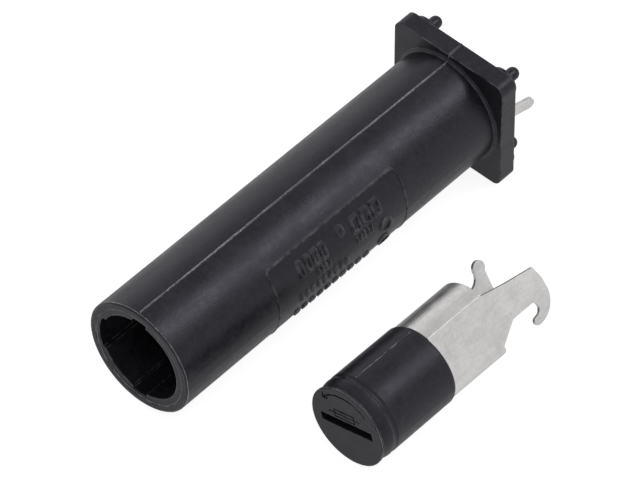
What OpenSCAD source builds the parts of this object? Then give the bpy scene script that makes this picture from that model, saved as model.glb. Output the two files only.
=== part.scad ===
// Cartridge fuse holder for a printed circuit board, with its bayonet fuse carrier taken out and laid beside it.
// Millimetres. +Y runs along the tube from its open mouth towards the board, +X to the carrier's side, +Z up.
// The origin is on the tube's axis, in the plane of the four stand-off pads that sit on the board.

/* [Tube] */
// Outside diameter of the tube at its open mouth
tube_d = 15; // [13:0.1:17]
// Outside diameter of the tube where it meets the flange
tube_root_d = 14.56; // [12:0.02:17]
// Length of the tube from its mouth to the flange
tube_len = 52.2; // [48:0.1:58]
// Diameter of the bore that takes the carrier
bore_d = 11.4; // [11.2:0.1:11.8]
// Diameter of the shallow counterbore at the mouth
counterbore_d = 13.1; // [12:0.1:13.6]
// Depth of the counterbore
counterbore_depth = 0.15; // [0.05:0.05:0.6]
// Depth of the guide grooves below the bore
groove_depth = 0.45; // [0.2:0.05:0.6]
// Height of the parting line left along the top of the moulding
flash_height = 0.09; // [0.04:0.01:0.2]

/* [Flange] */
// Side of the square flange
flange_side = 16.5; // [16:0.1:19]
// Thickness of the flange
flange_thick = 2.3; // [1.5:0.1:3]
// Corner radius of the flange
flange_corner = 1.3; // [0.8:0.1:2]
// Spacing of the four locating pegs, along X and along Z
peg_spacing = 11.8; // [11:0.1:12.4]
// Diameter of each locating peg
peg_d = 1.6; // [1:0.1:1.8]
// Length of each peg beyond the stand-off pads
peg_len = 2.2; // [1.2:0.1:3]
// Diameter of the stand-off pad under each peg
pad_d = 3.7; // [2.4:0.1:4]
// Height of the stand-off pads
pad_height = 0.7; // [0.3:0.1:1]

/* [Rating panel] */
// Start of the panel from the tube's mouth
panel_start = 15.4; // [12:0.1:18]
// Length of the panel along the tube
panel_len = 21.7; // [16:0.1:24]
// Height of the panel measured straight across
panel_height = 11; // [8:0.1:12]
// Height of the panel's raised outline
outline = 0.08; // [0.04:0.01:0.15]
// Height of the raised marks on the panel
relief = 0.19; // [0.06:0.01:0.25]

/* [Terminals] */
// Thickness of the terminal sheet
sheet = 0.5; // [0.4:0.05:0.6]
// Width of the two solder pins
pin_width = 1.5; // [1:0.1:1.8]
// Length of the solder pins beyond the pads
pin_len = 4; // [3:0.1:5]
// Distance of the side pin from the tube's axis
side_pin_x = 6.3; // [6:0.05:6.8]
// Lean of the side pin's end away from the tube's axis
pin_lean = 12; // [0:1:20]
// Angle of the first latch lug, counted from +X towards +Z
lug_angle = -41; // [-50:1:-35]

/* [Contact button] */
// Diameter of the well that guides the button
well_d = 7.2; // [7:0.1:7.4]
// Diameter of the button
button_d = 7.08; // [6.9:0.02:7.3]
// Wire diameter of the contact spring
spring_wire = 0.5; // [0.35:0.05:0.7]
// Number of turns of the contact spring
spring_turns = 7; // [5:1:8]

/* [Carrier cap] */
// Distance of the carrier's axis to the side of the tube's axis
carrier_x = 22.8; // [20:0.1:30]
// Height of the carrier's axis from the tube's axis
carrier_z = -2.3; // [-3:0.1:0]
// Distance of the cap's face behind the tube's mouth
carrier_y = 9.7; // [0:0.1:20]
// Diameter of the head disc and of the cap behind the collar
cap_d = 10.74; // [10:0.02:11.1]
// Length of the cap from its face to its rear edge
cap_len = 12.5; // [12:0.1:15]
// Length of the screwdriver slot
slot_len = 7.9; // [6:0.1:8.4]
// Width of the screwdriver slot
slot_width = 1.2; // [0.8:0.05:1.4]
// Depth of the screwdriver slot
slot_depth = 1.1; // [0.6:0.1:1.4]
// Radius of the arrow's arc on the cap's face
arrow_r = 4.4; // [3.5:0.1:4.8]
// Tilt of the slot where the carrier lies
slot_tilt = 14.5; // [-90:0.5:90]

/* [Carrier clip] */
// Outside diameter of the clip's round sides
clip_d = 10.28; // [10:0.02:10.6]
// Distance of the clip's two flats from the carrier's axis
flat_dist = 3.45; // [3.2:0.05:3.8]
// Thickness of the clip's sheet
clip_sheet = 0.4; // [0.3:0.05:0.5]
// Distance from the cap's face to the end of the clip's round sides
clip_end = 21.4; // [19:0.1:24]
// Angle of the first flat's outward direction, counted from +X towards +Z
flat_angle = 32.5; // [20:0.5:45]
// Distance from the cap's face to the end of the hooks
hook_end = 30.05; // [28:0.05:33]
// Distance of the arm's straight edge from the middle of the flat
arm_edge = 1.3; // [0.8:0.1:1.8]
// Radius of the hook's outer edge
hook_r = 2.95; // [2.5:0.05:3.3]
// Width of the pocket behind the hook's tip
pocket = 1.7; // [1.2:0.1:1.8]
// Radius of the hook's rounded tip
tip_r = 0.52; // [0.4:0.02:0.6]
// Distance from the cap's face to the end of the arm with the finger
finger_end = 27.65; // [25:0.05:29]
// Width of the finger
finger_w = 1.5; // [1:0.1:2]

/* [Hidden] */
$fn = 96;
e = 0.01;
y_flange_back = -pad_height;
y_flange_front = y_flange_back - flange_thick;
y_mouth = y_flange_front - tube_len;
y_floor = -4.2;
y_rear_bore = y_mouth + 24.4;
y_sleeve = -17;
y_face = y_mouth + carrier_y;
bore_r = bore_d / 2;
cap_r = cap_d / 2;
rear_r = 6.1;
well_r = well_d / 2;
strip_x = 5.55;
strip_w = 3.8;
y_bend = 1.2;
sleeve_in = 3.5;
flat_out = sqrt(pow(clip_d / 2, 2) - pow(flat_dist, 2));
slope = (tube_root_d - tube_d) / 2 / tube_len;
black = [0.09, 0.09, 0.1];
tin = [0.76, 0.75, 0.72];
brass = [0.78, 0.68, 0.45];
steel = [0.62, 0.63, 0.65];

// Lays a shape drawn in X and Z, and raised along its own height, along +Y from y0.
module along(y0) translate([0, y0, 0]) rotate([-90, 0, 0]) mirror([0, 1, 0]) children();

// Carries a shape to the axis of the carrier; its height counts from the cap's face.
module at_carrier() translate([carrier_x, 0, carrier_z]) along(y_face) children();

module rod(r, y0, y1) along(y0) cylinder(r = r, h = y1 - y0);

module ring(ro, ri, h) difference() { cylinder(r = ro, h = h); translate([0, 0, -1]) cylinder(r = ri, h = h + 2); }

// Square with round corners, centred.
module round_square(side, r) {
  square([side, side - 2 * r], center = true);
  square([side - 2 * r, side], center = true);
  for (x = [-1, 1], y = [-1, 1]) translate([x * (side / 2 - r), y * (side / 2 - r)]) circle(r = r);
}

// Oblong frame or bar with round corners, in the Y and Z directions, thrown along +X.
module slab(y0, z0, ly, lz, r) translate([0, y0, z0]) rotate([90, 0, 90]) linear_extrude(12) {
  translate([r, 0]) square([ly - 2 * r, lz]);
  translate([0, r]) square([ly, lz - 2 * r]);
  for (a = [r, ly - r], b = [r, lz - r]) translate([a, b]) circle(r = r);
}

// Thin skin standing proud of the tube's tapered outside, between two distances from the mouth.
module skin(h, a, b) difference() {
  along(y_mouth + a) cylinder(r1 = tube_d / 2 + slope * a + h, r2 = tube_d / 2 + slope * b + h, h = b - a);
  along(y_mouth + a - 1) cylinder(r1 = tube_d / 2 + slope * (a - 1) - 0.1, r2 = tube_d / 2 + slope * (b + 1) - 0.1, h = b - a + 2);
}

// Outline of a plain box, thrown along +X.
module box(y0, z0, ly, lz) difference() {
  slab(y0, z0, ly, lz, 0.2);
  translate([-1, 0, 0]) slab(y0 + 0.28, z0 + 0.28, ly - 0.56, lz - 0.56, 0.05);
}

module panel_outline() intersection() {
  skin(outline, panel_start - 1, panel_start + panel_len + 1);
  difference() {
    slab(y_mouth + panel_start, -panel_height / 2, panel_len, panel_height, 0.6);
    translate([-1, 0, 0]) slab(y_mouth + panel_start + 0.11, -panel_height / 2 + 0.11, panel_len - 0.22, panel_height - 0.22, 0.5);
  }
}

module panel_marks() intersection() {
  skin(relief, panel_start - 1, panel_start + panel_len + 1);
  union() {
    // large row: plain boxes in two groups with a ring between them
    for (k = [0 : 3]) box(y_mouth + 19.4 + 1.25 * k, 2.5, 0.95, 1.9);
    for (k = [0 : 2]) box(y_mouth + 28.4 + 1.7 * k, 2.5, 1.35, 1.9);
    translate([0, y_mouth + 26.7, 4]) rotate([0, 90, 0]) ring(0.6, 0.38, 12);
    // small rows of plain ticks and bars
    for (k = [0 : 3]) slab(y_mouth + 22.1 + 0.6 * k, 1.05, 0.26, 1, 0.1);
    for (k = [0 : 4]) slab(y_mouth + 28.6 + 0.6 * k, 1.05, 0.26, 1, 0.1);
    for (k = [0 : 8]) slab(y_mouth + 19 + 0.95 * k, -0.9, 0.45, 1.2, 0.15);
    for (k = [0 : 9]) slab(y_mouth + 18.4 + 1.3 * k, -3.1, 0.8, 0.8, 0.15);
    for (z = [0.4, -2.4]) translate([0, y_mouth + 33.4, z]) rotate([0, 90, 0]) ring(0.95, 0.7, 12);
  }
}

module housing() color(black) difference() {
  union() {
    along(y_mouth) {
      cylinder(r1 = tube_d / 2 - 0.25, r2 = tube_d / 2, h = 0.25);
      translate([0, 0, 0.25]) cylinder(r1 = tube_d / 2, r2 = tube_root_d / 2, h = tube_len - 0.25 + e);
      // small fillet round the tube's root
      translate([0, 0, tube_len - 0.24]) cylinder(r1 = tube_root_d / 2 - 0.02, r2 = tube_root_d / 2 + 0.34, h = 0.24 + e);
    }
    along(y_flange_front) linear_extrude(flange_thick) round_square(flange_side, flange_corner);
    for (x = [-1, 1], z = [-1, 1]) translate([x * peg_spacing / 2, 0, z * peg_spacing / 2]) {
      along(y_flange_back - e) cylinder(d = pad_d, h = pad_height + e);
      along(-0.2) cylinder(d = peg_d, h = peg_len + 0.2 - peg_d / 2);
      along(peg_len - peg_d / 2) sphere(d = peg_d);
    }
    // parting line along the top of the tube and across the flange
    intersection() {
      skin(flash_height, 0.4, tube_len - 0.1);
      translate([-0.07, y_mouth, 0]) cube([0.14, tube_len, tube_d]);
    }
    translate([-0.1, y_flange_front + e, flange_side / 2 - 0.5]) cube([0.2, flange_thick - 2 * e, 0.5 + flash_height]);
    panel_outline();
    panel_marks();
  }
  along(y_mouth - 1) cylinder(r = counterbore_d / 2, h = 1 + counterbore_depth);
  rod(bore_r, y_mouth, y_rear_bore + 1);
  // guide grooves: narrow at top and bottom, wide at the side away from the panel
  intersection() {
    rod(bore_r + groove_depth, y_mouth - 0.5, y_mouth + 23);
    union() {
      translate([-1.05, y_mouth - 1, -8]) cube([2.1, 24, 16]);
      translate([-8, y_mouth - 1, -2.5]) cube([8, 24, 5]);
    }
  }
  difference() {
    rod(rear_r, y_rear_bore, y_floor);
    rod(4.7, y_sleeve, y_floor + 1);
  }
  rod(well_r, y_sleeve + 0.6, y_floor);
  rod(3.1, y_sleeve - 1, y_sleeve + 1);
  // way for the side terminal and its pin
  translate([4.72, y_sleeve - 0.01, -strip_w / 2 - 0.05]) cube([rear_r - 4.72, y_floor - y_sleeve + 0.01, strip_w + 0.1]);
  translate([5, y_rear_bore, -strip_w / 2 - 0.05]) cube([rear_r + 0.02 - 5, y_floor - y_rear_bore, strip_w + 0.1]);
  translate([5.3, y_floor - 0.55, -strip_w / 2 - 0.05]) cube([1.56, 0.55, strip_w + 0.1]);
  translate([side_pin_x - sheet / 2 - 0.03, y_floor - 1, -pin_width / 2 - 0.03]) cube([sheet + 0.06, 8, pin_width + 0.06]);
  translate([-sheet / 2 - 0.03, y_floor - 1, -pin_width / 2 - 0.03]) cube([sheet + 0.06, 8, pin_width + 0.06]);
}

// Flat solder pin with a fully rounded end, standing in the Y and Z directions.
module blade(x, y0, y1) translate([x - sheet / 2, 0, 0]) {
  translate([0, y0, -pin_width / 2]) cube([sheet, y1 - pin_width / 2 - y0, pin_width]);
  translate([0, y1 - pin_width / 2, 0]) rotate([0, 90, 0]) cylinder(d = pin_width, h = sheet);
}

module side_terminal() color(tin) {
  y_ring = y_rear_bore + 0.05;
  translate([strip_x, y_ring, -strip_w / 2]) cube([sheet, y_floor - 0.03 - y_ring, strip_w]);
  translate([strip_x, y_floor - 0.03 - sheet, -strip_w / 2]) cube([side_pin_x + sheet / 2 - strip_x, sheet, strip_w]);
  // pin, straight through the floor and bent outwards beyond the pads
  translate([side_pin_x - sheet / 2, y_floor - 0.03 - sheet, -pin_width / 2]) cube([sheet, y_bend - y_floor + 0.03 + sheet, pin_width]);
  translate([side_pin_x, y_bend, 0]) {
    translate([0, 0, -pin_width / 2]) cylinder(d = sheet, h = pin_width);
    rotate([0, 0, -pin_lean]) blade(0, 0, (pin_len - y_bend) / cos(pin_lean));
  }
  difference() {
    along(y_ring) ring(6.07, 5.67, 3.9);
    translate([-8, y_ring - 1, -0.9]) cube([4, 6, 1.8]);
  }
  // lug for the pocket of the hook, and a thin one, set round and forward, for the finger
  along(y_mouth + 25.5) rotate([0, 0, lug_angle]) translate([3.72, -0.45, 0]) cube([2.1, 0.9, 1.4]);
  along(y_mouth + 24.45) rotate([0, 0, lug_angle + 171]) translate([3.9, -0.4, 0]) cube([1.9, 0.8, 0.35]);
}

module centre_terminal() color(tin) {
  rod(3.3, y_floor - 0.03 - sheet, y_floor - 0.03);
  blade(0, y_floor - 0.03 - sheet / 2, pin_len);
}

// Wire wound round an axis drawn along the height, with flat-ground end turns.
module coil(rm, wire, turns, h) {
  steps = 24 * turns;
  ends = 24;
  sides = 8;
  lift = h - wire;
  pts = [for (i = [-ends : steps + ends], j = [0 : sides - 1])
    let (a = 15 * i, z = wire / 2 + lift * min(max(i, 0), steps) / steps,
         r = rm + wire / 2 * cos(360 / sides * (j + 0.5)))
    [r * cos(a), r * sin(a), z + wire / 2 * sin(360 / sides * (j + 0.5))]];
  n = steps + 1;
  sub = [for (k = [ends * sides : (ends + n) * sides - 1]) pts[k]];
  polyhedron(points = sub, faces = concat(
    [[for (j = [sides - 1 : -1 : 0]) j]],
    [for (i = [0 : n - 2], j = [0 : sides - 1]) let (a = i * sides + j, b = i * sides + (j + 1) % sides) [a, b, b + sides]],
    [for (i = [0 : n - 2], j = [0 : sides - 1]) let (a = i * sides + j, b = i * sides + (j + 1) % sides) [a, b + sides, a + sides]],
    [[for (j = [0 : sides - 1]) (n - 1) * sides + j]]), convexity = 10);
}

module contact_spring() color(steel) along(-14.18) coil(2.85, spring_wire, spring_turns, 9.4);

module contact_button() color(brass) {
  rod(button_d / 2, -16.3, -14.2);
  rod(2.98, -19.9, -16.3 + e);
  along(-20.4) cylinder(r1 = 2.2, r2 = 2.98, h = 0.5 + e);
  rod(2.2, -14.2 - e, -12.6);
}

// Curved arrow on the cap's face, pointing against the clock.
module arrow() {
  intersection() {
    ring(arrow_r + 0.12, arrow_r - 0.12, 0.55);
    union() for (a = [52.5, 57.5]) rotate([0, 0, a]) translate([0, 0, -1]) cube([9, 9, 3]);
  }
  rotate([0, 0, 147.5]) translate([arrow_r, 0, 0]) for (a = [-35, 35]) rotate([0, 0, a + 90]) translate([-0.9, -0.13, 0]) cube([1, 0.26, 0.55]);
}

module carrier_cap() color(black) at_carrier() difference() {
  union() {
    // head, neck, rounded shoulder, shallow cove and body in one turn
    rotate_extrude() polygon([[0, 0], [cap_r - 0.14, 0], [cap_r - 0.04, 0.1], [cap_r - 0.04, 0.38], [cap_r - 0.4, 0.38], [cap_r - 0.4, 0.56],
      [cap_r - 0.29, 0.8], [cap_r - 0.17, 1.1], [cap_r - 0.08, 1.4], [cap_r - 0.02, 1.7], [cap_r, 1.95],
      [cap_r - 0.08, 2.08], [cap_r - 0.13, 2.24], [cap_r - 0.13, 2.44], [cap_r - 0.08, 2.6], [cap_r, 2.76],
      [cap_r - 0.05, cap_len - 0.3], [cap_r - 0.13, cap_len - 0.1], [cap_r - 0.3, cap_len], [0, cap_len]]);
    // parting line along the cap
    rotate([0, 0, 103]) translate([0, -0.06, 2.95]) cube([cap_r + 0.05, 0.12, cap_len - 3.75]);
  }
  rotate([0, 0, slot_tilt]) translate([-slot_len / 2, -slot_width / 2 + 0.15, -1]) cube([slot_len, slot_width, 1 + slot_depth]);
  translate([0, 0, -0.25]) arrow();
  // fuse sign beside the slot: a small oblong with a line through it
  rotate([0, 0, slot_tilt]) translate([0, 1.55, -0.2]) difference() {
    union() { translate([-1.6, -0.62, 0]) cube([3.2, 1.24, 0.45]); translate([-2.5, -0.11, 0]) cube([5, 0.22, 0.45]); }
    translate([-1.38, -0.4, -1]) cube([2.76, 0.29, 2]);
    translate([-1.38, 0.11, -1]) cube([2.76, 0.29, 2]);
  }
  translate([0, 0, 2.4]) cylinder(r = sleeve_in + 0.43, h = cap_len);
}

// Half of the clip's outline in the carrier's X and Z: one round side and one flat, as a ring of even thickness.
module clip_outline(ro, flat) intersection() {
  circle(r = ro);
  rotate(flat_angle) square([2 * flat, 4 * ro], center = true);
}

// Arm with the hook, drawn on the flat: along the carrier in y, across the flat in x.
module hook_arm() {
  // root as wide as the flat, drawn in to the arm
  polygon([[-flat_out, 20.4], [flat_out, 20.4], [flat_out, clip_end], [arm_edge + 1.9, clip_end], [arm_edge, 24.05], [arm_edge, hook_end], [-0.4, hook_end - 0.1],
    [-2.2, hook_end - 0.7], [-2.85, 25.15]]);
  // round outer edge of the hook, with the pocket for the latch lug cut into it
  difference() {
    translate([arm_edge - 0.2, hook_end - hook_r]) intersection() {
      circle(r = hook_r);
      square(2 * hook_r);
    }
    translate([arm_edge, hook_end - 4]) square([pocket, 1.85 - pocket / 2]);
    translate([arm_edge + pocket / 2, hook_end - 2.15 - pocket / 2]) circle(d = pocket);
  }
  // rounded tip
  translate([arm_edge - 0.2 + hook_r - tip_r, hook_end - hook_r - 0.1]) circle(r = tip_r);
}

// Arm with the sideways finger, on the opposite flat and drawn the same way.
module finger_arm() {
  polygon([[-flat_out, 20.4], [flat_out, 20.4], [flat_out, clip_end], [arm_edge + 1.9, clip_end], [arm_edge, 24.05], [arm_edge + 0.15, finger_end - finger_w - 1.45],
    [arm_edge + 0.15, finger_end], [-2.45, finger_end], [-2.85, 25.15]]);
  difference() {
    translate([arm_edge, finger_end - finger_w - 1.45]) square([1.8, finger_w + 1.45]);
    translate([arm_edge + 1.6, finger_end - finger_w - 1.45]) circle(r = 1.45);
  }
  translate([arm_edge + 1.8, finger_end - 0.6]) circle(r = 0.88);
}

module carrier_clip() color(tin) at_carrier() {
  // body behind the cap: two round sides and two flats, split along one round side
  difference() {
    translate([0, 0, cap_len + 0.03]) linear_extrude(clip_end - cap_len - 0.03) difference() {
      clip_outline(clip_d / 2, flat_dist);
      clip_outline(clip_d / 2 - clip_sheet, flat_dist - clip_sheet);
      rotate(flat_angle - 90) translate([0, -0.25]) square([9, 0.5]);
    }
  }
  // an arm standing out of each flat
  rotate([0, 0, flat_angle]) translate([flat_dist - clip_sheet, 0, 0]) rotate([90, 0, 90]) mirror([1, 0, 0]) linear_extrude(clip_sheet) hook_arm();
  rotate([0, 0, flat_angle + 180]) translate([flat_dist - clip_sheet, 0, 0]) rotate([90, 0, 90]) mirror([1, 0, 0]) linear_extrude(clip_sheet) finger_arm();
  // joggle into the cap and the sleeve that holds the fuse's end
  translate([0, 0, cap_len + 0.03]) linear_extrude(clip_sheet) difference() {
    clip_outline(clip_d / 2, flat_dist);
    circle(r = 2.9);
  }
  translate([0, 0, 4.6]) difference() {
    ring(sleeve_in + clip_sheet, sleeve_in, cap_len + 0.03 + clip_sheet - 4.6);
    rotate([0, 0, flat_angle - 90]) translate([0, -0.25, -1]) cube([9, 0.5, 12]);
  }
}

module cap_spring() color(steel) at_carrier() translate([0, 0, 2.42]) coil(2.6, 0.45, 3, 2.9);

module fuse_seat() color(brass) at_carrier() {
  translate([0, 0, 5.34]) cylinder(r = sleeve_in - 0.08, h = 0.5);
  translate([0, 0, 3.4]) cylinder(r = 1.9, h = 2);
}

housing();
side_terminal();
centre_terminal();
contact_spring();
contact_button();
carrier_cap();
carrier_clip();
cap_spring();
fuse_seat();
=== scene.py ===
import bpy, math, random
from mathutils import Vector, Matrix


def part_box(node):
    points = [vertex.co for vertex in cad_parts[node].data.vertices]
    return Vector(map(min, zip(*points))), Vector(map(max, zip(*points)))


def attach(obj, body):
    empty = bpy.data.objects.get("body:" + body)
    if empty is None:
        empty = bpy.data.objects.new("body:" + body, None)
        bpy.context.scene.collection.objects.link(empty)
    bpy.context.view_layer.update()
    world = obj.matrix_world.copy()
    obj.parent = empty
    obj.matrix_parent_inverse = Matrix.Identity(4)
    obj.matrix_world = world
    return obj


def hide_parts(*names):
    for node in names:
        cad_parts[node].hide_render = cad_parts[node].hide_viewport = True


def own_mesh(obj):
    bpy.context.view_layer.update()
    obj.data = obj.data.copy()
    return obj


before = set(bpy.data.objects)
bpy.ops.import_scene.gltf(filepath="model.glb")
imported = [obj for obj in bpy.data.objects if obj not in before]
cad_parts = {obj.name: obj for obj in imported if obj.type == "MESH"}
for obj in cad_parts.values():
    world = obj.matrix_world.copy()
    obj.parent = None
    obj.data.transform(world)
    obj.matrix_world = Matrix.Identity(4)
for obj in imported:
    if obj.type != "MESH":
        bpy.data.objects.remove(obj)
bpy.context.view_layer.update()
MM = 0.001

# Places taken from the frame.
house_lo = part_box("housing")[0]
cap_lo, cap_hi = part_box("carrier_cap")
mouth_y = house_lo[1]
face_y = cap_lo[1]
axis_x = (cap_lo[0] + cap_hi[0]) / 2
axis_z = (cap_lo[2] + cap_hi[2]) / 2
TUBE_R, TUBE_ROOT_R, TUBE_LEN = 7.5 * MM, 7.28 * MM, 52.2 * MM


# ---------------------------------------------------------------- materials
class Graph:
    """Short hand for building a node material."""

    def __init__(self, name):
        self.mat = bpy.data.materials.new(name)
        self.mat.use_nodes = True
        self.tree = self.mat.node_tree
        self.tree.nodes.clear()
        self.out = self.add("ShaderNodeOutputMaterial")
        self.bsdf = self.add("ShaderNodeBsdfPrincipled")
        self.link(self.bsdf.outputs[0], self.out.inputs[0])
        self.place = self.add("ShaderNodeTexCoord").outputs["Object"]

    def add(self, kind, **values):
        n = self.tree.nodes.new(kind)
        for k, v in values.items():
            if hasattr(n, k):
                setattr(n, k, v)
            else:
                n.inputs[k.replace("_", " ")].default_value = v
        return n

    def link(self, a, b):
        self.tree.links.new(a, b)

    def noise(self, scale, detail=4.0, rough=0.55, stretch=None, distortion=0.0):
        n = self.add("ShaderNodeTexNoise")
        n.inputs["Scale"].default_value = scale
        n.inputs["Detail"].default_value = detail
        n.inputs["Roughness"].default_value = rough
        n.inputs["Distortion"].default_value = distortion
        src = self.place
        if stretch:
            m = self.add("ShaderNodeMapping")
            m.inputs["Scale"].default_value = stretch
            self.link(src, m.inputs["Vector"])
            src = m.outputs[0]
        self.link(src, n.inputs["Vector"])
        return n.outputs["Fac"]

    def span(self, value, a, b, lo=0.0, hi=1.0):
        n = self.add("ShaderNodeMapRange")
        self.link(value, n.inputs["Value"])
        for key, v in (("From Min", a), ("From Max", b), ("To Min", lo), ("To Max", hi)):
            n.inputs[key].default_value = v
        return n.outputs[0]

    def math(self, op, a, b=None):
        n = self.add("ShaderNodeMath")
        n.operation = op
        for i, v in enumerate((a, b)):
            if v is None:
                continue
            if isinstance(v, (int, float)):
                n.inputs[i].default_value = v
            else:
                self.link(v, n.inputs[i])
        return n.outputs[0]

    def mix(self, fac, a, b):
        n = self.add("ShaderNodeMix")
        n.data_type = "RGBA"
        for i, v in ((0, fac), (6, a), (7, b)):
            if isinstance(v, tuple):
                n.inputs[i].default_value = (*v, 1.0)
            elif isinstance(v, (int, float)):
                n.inputs[i].default_value = v
            else:
                self.link(v, n.inputs[i])
        return n.outputs[2]

    def soft_edges(self, radius):
        """Normal with rounded edges, and how far it leans from the true one."""
        n = self.add("ShaderNodeBevel")
        n.samples = 6
        n.inputs["Radius"].default_value = radius
        geo = self.add("ShaderNodeNewGeometry")
        dot = self.add("ShaderNodeVectorMath")
        dot.operation = "DOT_PRODUCT"
        self.link(n.outputs[0], dot.inputs[0])
        self.link(geo.outputs["Normal"], dot.inputs[1])
        return n.outputs[0], self.span(dot.outputs["Value"], 1.0, 0.75)

    def bump(self, height, strength, distance, normal=None):
        n = self.add("ShaderNodeBump")
        n.inputs["Strength"].default_value = strength
        n.inputs["Distance"].default_value = distance
        self.link(height, n.inputs["Height"])
        if normal is not None:
            self.link(normal, n.inputs["Normal"])
        return n.outputs[0]


def moulded(name, dark, light, rough, edge=0.2 * MM, wear_and_highlight=0.5):
    """Black thermoplastic: cloudy sheen, fine moulding grain, flow streaks, edges painted lighter, partly rubbed and
    partly a painted highlight.
    """
    g = Graph(name)
    cloud = g.noise(230, 5, 0.6)
    flow = g.noise(520, 4, 0.6, stretch=(1.0, 0.12, 1.0), distortion=0.5)
    grain = g.noise(3600, 3, 0.6)
    mottle = g.noise(1300, 4, 0.65)
    specks = g.noise(4200, 2, 0.5)
    normal, lean = g.soft_edges(edge)
    base = g.mix(g.span(cloud, 0.35, 0.7), dark, light)
    base = g.mix(g.math("MULTIPLY", g.span(mottle, 0.48, 0.75), 0.5), base, (0.034, 0.032, 0.038))
    dust = g.span(specks, 0.66, 0.78)
    base = g.mix(g.math("MULTIPLY", dust, 0.35), base, (0.10, 0.097, 0.105))
    # edges painted lighter: partly rubbed plastic, partly a painted edge highlight
    rub_and_highlight = g.math("MULTIPLY", g.math("MULTIPLY", lean, g.span(g.noise(900, 3), 0.36, 0.62)), wear_and_highlight)
    base = g.mix(rub_and_highlight, base, (0.34, 0.335, 0.35))
    g.link(base, g.bsdf.inputs["Base Color"])
    r = g.math("ADD", g.span(cloud, 0.3, 0.75, rough - 0.05, rough + 0.07), g.span(flow, 0.3, 0.7, -0.05, 0.05))
    r = g.math("ADD", r, g.span(mottle, 0.35, 0.7, -0.05, 0.06))
    g.link(r, g.bsdf.inputs["Roughness"])
    g.bsdf.inputs["Specular IOR Level"].default_value = 0.45
    g.bsdf.inputs["Specular Tint"].default_value = (0.87, 0.86, 1.0, 1.0)
    n1 = g.bump(flow, 0.18, 0.09 * MM, normal)
    n2 = g.bump(mottle, 0.45, 0.055 * MM, n1)
    n3 = g.bump(grain, 0.75, 0.024 * MM, n2)
    g.link(g.bump(cloud, 0.20, 0.12 * MM, n3), g.bsdf.inputs["Normal"])
    return g.mat


def tinned(name, stretch=(1.0, 0.12, 1.0), tone=(0.93, 0.92, 0.89), shade=(0.76, 0.75, 0.73)):
    """Matte tin plate: uneven grey patches, fine grain, rolling lines, small dark handling marks."""
    g = Graph(name)
    patch = g.noise(230, 5, 0.62)
    mottle = g.noise(1500, 4, 0.6)
    grain = g.noise(4200, 3, 0.7)
    rolled = g.noise(2600, 3, 0.6, stretch=stretch)
    marks = g.noise(620, 6, 0.75)
    normal, lean = g.soft_edges(0.09 * MM)
    base = g.mix(g.span(patch, 0.36, 0.64), shade, tone)
    base = g.mix(g.math("MULTIPLY", g.span(mottle, 0.4, 0.7), 0.5), base, (0.98, 0.97, 0.95))
    base = g.mix(g.math("MULTIPLY", g.span(rolled, 0.5, 0.72), 0.35), base, (0.66, 0.65, 0.64))
    base = g.mix(g.math("MULTIPLY", g.span(grain, 0.5, 0.75), 0.45), base, (0.60, 0.59, 0.57))
    base = g.mix(g.math("MULTIPLY", g.span(marks, 0.62, 0.76), 0.5), base, (0.45, 0.43, 0.40))
    g.link(base, g.bsdf.inputs["Base Color"])
    g.bsdf.inputs["Metallic"].default_value = 1.0
    r = g.math("ADD", g.span(patch, 0.3, 0.7, 0.32, 0.42), g.span(rolled, 0.3, 0.7, -0.05, 0.05))
    r = g.math("SUBTRACT", r, g.math("MULTIPLY", lean, 0.12))
    g.link(r, g.bsdf.inputs["Roughness"])
    n1 = g.bump(rolled, 0.25, 0.012 * MM, normal)
    n2 = g.bump(mottle, 0.25, 0.03 * MM, n1)
    g.link(g.bump(patch, 0.5, 0.30 * MM, n2), g.bsdf.inputs["Normal"])
    return g.mat


def turned(name, tone, shade, rough):
    """Plated contact metal: turning lines round the axis, light tarnish."""
    g = Graph(name)
    rings = g.noise(3800, 3, 0.5, stretch=(0.2, 1.0, 0.2))
    tarnish = g.noise(420, 5, 0.65)
    normal, lean = g.soft_edges(0.08 * MM)
    base = g.mix(g.span(tarnish, 0.35, 0.7), tone, shade)
    # edges painted paler gold: a painted edge highlight
    base = g.mix(g.math("MULTIPLY", lean, 0.4), base, (0.92, 0.86, 0.68))
    g.link(base, g.bsdf.inputs["Base Color"])
    g.bsdf.inputs["Metallic"].default_value = 1.0
    g.link(g.span(tarnish, 0.3, 0.75, rough - 0.06, rough + 0.12), g.bsdf.inputs["Roughness"])
    g.link(g.bump(rings, 0.25, 0.012 * MM, normal), g.bsdf.inputs["Normal"])
    return g.mat


def wire(name):
    """Drawn spring wire: die lines along the wire and a few rust-brown specks."""
    g = Graph(name)
    lines = g.noise(3000, 3, 0.6, stretch=(1.0, 0.5, 1.0))
    specks = g.noise(1800, 4, 0.7)
    base = g.mix(g.span(lines, 0.3, 0.7), (0.42, 0.42, 0.44), (0.66, 0.66, 0.68))
    base = g.mix(g.math("MULTIPLY", g.span(specks, 0.68, 0.78), 0.5), base, (0.25, 0.17, 0.11))
    g.link(base, g.bsdf.inputs["Base Color"])
    g.bsdf.inputs["Metallic"].default_value = 1.0
    g.link(g.span(lines, 0.3, 0.7, 0.24, 0.42), g.bsdf.inputs["Roughness"])
    g.link(g.bump(lines, 0.3, 0.015 * MM), g.bsdf.inputs["Normal"])
    return g.mat


def flashed(name):
    """Thin torn plastic left at a mould's parting line, paler than the rest."""
    g = Graph(name)
    tear = g.noise(2400, 5, 0.7)
    base = g.mix(g.span(tear, 0.35, 0.65), (0.10, 0.10, 0.105), (0.36, 0.36, 0.37))
    g.link(base, g.bsdf.inputs["Base Color"])
    g.link(g.span(tear, 0.3, 0.7, 0.30, 0.52), g.bsdf.inputs["Roughness"])
    g.link(g.bump(tear, 0.5, 0.05 * MM), g.bsdf.inputs["Normal"])
    return g.mat


def paint(obj, mat):
    obj.data.materials.clear()
    obj.data.materials.append(mat)


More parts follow.
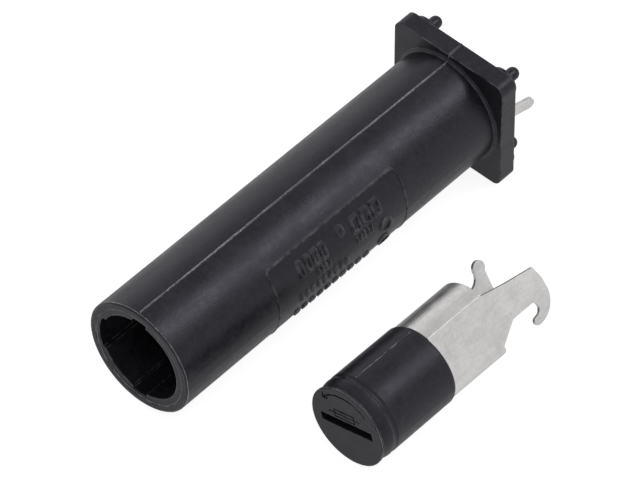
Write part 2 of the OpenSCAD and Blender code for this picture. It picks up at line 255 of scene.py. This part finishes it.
house_mat = moulded("moulding_black", (0.008, 0.0075, 0.010), (0.016, 0.015, 0.019), 0.34, 0.26 * MM, wear_and_highlight=0.7)
cap_mat = moulded("cap_black", (0.008, 0.0075, 0.010), (0.015, 0.014, 0.018), 0.37, 0.13 * MM, wear_and_highlight=0.6)
tin_mat = tinned("tin_plate")
pin_mat = tinned("tin_pin", stretch=(1.0, 0.2, 1.0), tone=(0.95, 0.94, 0.92))
brass_mat = turned("contact_plate", (0.80, 0.70, 0.45), (0.62, 0.52, 0.32), 0.28)
wire_mat = wire("spring_wire")
flash_mat = flashed("parting_flash")

paint(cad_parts["housing"], house_mat)
paint(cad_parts["carrier_cap"], cap_mat)
paint(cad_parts["carrier_clip"], tin_mat)
paint(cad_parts["side_terminal"], pin_mat)
paint(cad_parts["centre_terminal"], pin_mat)
paint(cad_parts["contact_button"], brass_mat)
paint(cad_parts["fuse_seat"], brass_mat)


# ---------------------------------------------------------------- pieces
def mesh_object(name, verts, faces, mat, body):
    me = bpy.data.meshes.new(name)
    me.from_pydata([tuple(v) for v in verts], [], faces)
    me.update()
    for p in me.polygons:
        p.use_smooth = True
    ob = bpy.data.objects.new(name, me)
    bpy.context.scene.collection.objects.link(ob)
    paint(ob, mat)
    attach(ob, body)
    return ob


def coil(name, node, body, radius, wire_r, turns):
    """Round wire wound along Y inside a CAD spring's box, with closed end turns."""
    lo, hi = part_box(node)
    cx, cz = (lo[0] + hi[0]) / 2, (lo[2] + hi[2]) / 2
    y0, y1 = lo[1] + wire_r, hi[1] - wire_r
    per_turn, sides = 40, 14
    n = int(turns * per_turn)
    verts, faces = [], []
    for i in range(n + 1):
        u = i / n
        a = 2 * math.pi * turns * u
        # end turns lie almost flat, the middle opens up
        v = u - 0.045 * math.sin(2 * math.pi * u)
        c = Vector((cx + radius * math.cos(a), y0 + (y1 - y0) * v, cz + radius * math.sin(a)))
        out = Vector((math.cos(a), 0, math.sin(a)))
        up = Vector((0, 1, 0))
        for j in range(sides):
            b = 2 * math.pi * j / sides
            verts.append(c + wire_r * (out * math.cos(b) + up * math.sin(b)))
    for i in range(n):
        for j in range(sides):
            a, b = i * sides + j, i * sides + (j + 1) % sides
            faces.append((a, b, b + sides, a + sides))
    faces.append(tuple(range(sides)))
    faces.append(tuple(n * sides + j for j in reversed(range(sides))))
    ob = mesh_object(name, verts, faces, wire_mat, body)
    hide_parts(node)
    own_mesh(ob)
    return ob


coil("contact_coil", "contact_spring", "holder", 2.85 * MM, 0.25 * MM, 7)
coil("cap_coil", "cap_spring", "carrier_core", 2.6 * MM, 0.225 * MM, 3)


def ridge(name, points, outs, sides, body, slot, width, height, seed):
    """Irregular thin ridge along a line of points: what a mould's parting line leaves."""
    r = random.Random(seed)
    verts, faces = [], []
    w = h = 0.5
    for p, o, s in zip(points, outs, sides):
        w += (r.random() - 0.5) * 0.5
        h += (r.random() - 0.5) * 0.6
        w, h = min(max(w, 0.15), 1.0), min(max(h, 0.05), 1.0)
        half = width * (0.45 + 0.7 * w) * MM
        top = height * (0.25 + h) * MM
        off = (r.random() - 0.5) * 0.05 * MM
        for a, b in ((-1.0, -0.05 * MM), (-0.45, top * 0.8), (0.0, top), (0.4, top * 0.7), (1.0, -0.05 * MM)):
            verts.append(p + s * (a * half + off) + o * b)
    for i in range(len(points) - 1):
        for k in range(4):
            a = i * 5 + k
            faces.append((a, a + 1, a + 6, a + 5))
    return mesh_object(name, verts, faces, flash_mat, body)


def line_along_tube(n=420):
    pts, outs, side = [], [], []
    for i in range(n):
        u = i / (n - 1)
        y = mouth_y + (0.35 + u * 51.6) * MM
        r = TUBE_R + (TUBE_ROOT_R - TUBE_R) * u + 0.07 * MM
        pts.append(Vector((0.02 * MM * math.sin(u * 9), y, r)))
        outs.append(Vector((0, 0, 1)))
        side.append(Vector((1, 0, 0)))
    return pts, outs, side


ridge("parting_line_tube", *line_along_tube(), "holder", "moulding", 0.10, 0.085, 11)

flange_top = 16.5 / 2 * MM
pts = [Vector((0.0, (-2.98 + 2.26 * i / 39) * MM, flange_top)) for i in range(40)]
ridge("parting_line_flange", pts, [Vector((0, 0, 1))] * 40, [Vector((1, 0, 0))] * 40, "holder", "moulding", 0.14, 0.07, 5)
pts = [Vector((0.0, -3.0 * MM, (7.75 + 0.5 * i / 11) * MM)) for i in range(12)]
ridge("parting_line_flange_front", pts, [Vector((0, -1, 0))] * 12, [Vector((1, 0, 0))] * 12, "holder", "moulding", 0.10, 0.05, 6)

a = math.radians(103)
radial = Vector((math.cos(a), 0, math.sin(a)))
around = Vector((-math.sin(a), 0, math.cos(a)))
pts = [Vector((axis_x, face_y + (2.75 + 9.1 * i / 119) * MM, axis_z)) + radial * (5.37 * MM + 0.02 * MM) for i in range(120)]
ridge("parting_line_cap", pts, [radial] * 120, [around] * 120, "carrier", "cap_moulding", 0.075, 0.05, 21)


def rim(name, centre, radius, y, out_y, body, slot, width, height, seed, start=0, end=360):
    """Burr round a moulded rim, thicker in places."""
    n = 360
    pts, outs, side = [], [], []
    for i in range(n + 1):
        t = math.radians(start + (end - start) * i / n)
        o = Vector((math.cos(t), 0, math.sin(t)))
        pts.append(centre + Vector((0, y, 0)) + o * radius)
        outs.append((o + Vector((0, out_y, 0))).normalized())
        side.append(Vector((0, 1, 0)).cross(o).cross(o).normalized())
    return ridge(name, pts, outs, side, body, slot, width, height, seed)


carrier_axis = Vector((axis_x, 0, axis_z))
rim("burr_cap_face", carrier_axis, 5.32 * MM, face_y + 0.11 * MM, -0.4, "carrier", "cap_moulding", 0.055, 0.03, 31)
# pale ridge on only part of the collar's edge: a painted highlight along that edge
rim("cap_collar_edge_painted_highlight", carrier_axis, 5.335 * MM, face_y + 1.97 * MM, -0.2, "carrier", "cap_moulding", 0.05, 0.022, 37, -35, 101)
rim("burr_mouth", Vector((0, 0, 0)), 7.47 * MM, mouth_y + 0.22 * MM, -0.4, "holder", "moulding", 0.07, 0.034, 33)
ts = [2 * math.pi * i / 360 for i in range(361)]
ridge("burr_mouth_step", [Vector((6.5 * MM * math.cos(t), mouth_y + 0.15 * MM, 6.5 * MM * math.sin(t))) for t in ts], [Vector((0, -1, 0))] * 361,
      [Vector((math.cos(t), 0, math.sin(t))) for t in ts], "holder", "moulding", 0.055, 0.075, 41)

# ---------------------------------------------------------------- floor, light, camera
# pale floor, partly lit from below like a light table
floor_graph = Graph("floor_pale")
speckle = floor_graph.noise(30, 3, 0.5)
floor_graph.link(floor_graph.mix(floor_graph.span(speckle, 0.3, 0.7), (0.36, 0.36, 0.365), (0.40, 0.40, 0.405)), floor_graph.bsdf.inputs["Base Color"])
floor_graph.bsdf.inputs["Roughness"].default_value = 0.8
floor_graph.bsdf.inputs["Emission Color"].default_value = (1.0, 1.0, 1.0, 1.0)
seen = floor_graph.add("ShaderNodeLightPath").outputs["Is Camera Ray"]
floor_graph.link(floor_graph.span(seen, 0.0, 1.0, 0.38, 0.88), floor_graph.bsdf.inputs["Emission Strength"])
# the tube rests on the flange's edge and the mouth's rim; in front of the mouth the floor falls away,
# which leaves room for the carrier at full travel
ridge_y, reach = mouth_y - 0.8 * MM, 0.8
rows = ((ridge_y - reach, -0.028 * reach), (ridge_y, 0.0), (ridge_y + reach, -0.01437 * reach))
mesh = bpy.data.meshes.new("floor")
mesh.from_pydata([(x, y, -7.56 * MM + dz) for y, dz in rows for x in (-reach, reach)], [], [(0, 1, 3, 2), (2, 3, 5, 4)])
floor = bpy.data.objects.new("floor", mesh)
bpy.context.scene.collection.objects.link(floor)
paint(floor, floor_graph.mat)

world = bpy.data.worlds.new("tent")
bpy.context.scene.world = world
world.use_nodes = True
wt = world.node_tree
background = wt.nodes["Background"]


def wnode(op, a, b):
    n = wt.nodes.new("ShaderNodeMath")
    n.operation = op
    for i, v in enumerate((a, b)):
        if isinstance(v, (int, float)):
            n.inputs[i].default_value = v
        else:
            wt.links.new(v, n.inputs[i])
    return n.outputs[0]


def lobe(direction, sharp, strength):
    """Soft bright patch of the light tent round one direction."""
    d = wt.nodes.new("ShaderNodeVectorMath")
    d.operation = "DOT_PRODUCT"
    wt.links.new(sky.outputs["Generated"], d.inputs[0])
    d.inputs[1].default_value = Vector(direction).normalized()
    return wnode("MULTIPLY", wnode("POWER", wnode("MAXIMUM", d.outputs["Value"], 0.0), sharp), strength)


sky = wt.nodes.new("ShaderNodeTexCoord")
level = wnode("ADD", 0.50, lobe((-0.80, 0.49, 0.25), 14, 0.55))
level = wnode("ADD", level, lobe((0.36, 0.49, 0.78), 40, 3.7))
level = wnode("ADD", level, lobe((0.4, -0.6, 0.6), 3, 0.12))
level = wnode("ADD", level, lobe((0.86, 0.49, 0.14), 60, 0.34))
wt.links.new(level, background.inputs["Strength"])
background.inputs["Color"].default_value = (0.99, 0.985, 1.0, 1)

forward = Vector((-0.4412, 0.4912, -0.7511)).normalized()
right = Vector((0.7409, 0.6716, 0.0040)).normalized()
up = right.cross(forward)
cam_data = bpy.data.cameras.new("camera")
cam = bpy.data.objects.new("camera", cam_data)
bpy.context.scene.collection.objects.link(cam)
cam_data.sensor_width = 36
cam_data.lens = 542
cam_data.clip_end = 10
cam.matrix_world = Matrix.Translation((0.48557, -0.56540, 0.82119)) @ Matrix((right, up, -forward)).transposed().to_4x4()
bpy.context.scene.camera = cam
bpy.context.scene.view_settings.view_transform = "Standard"
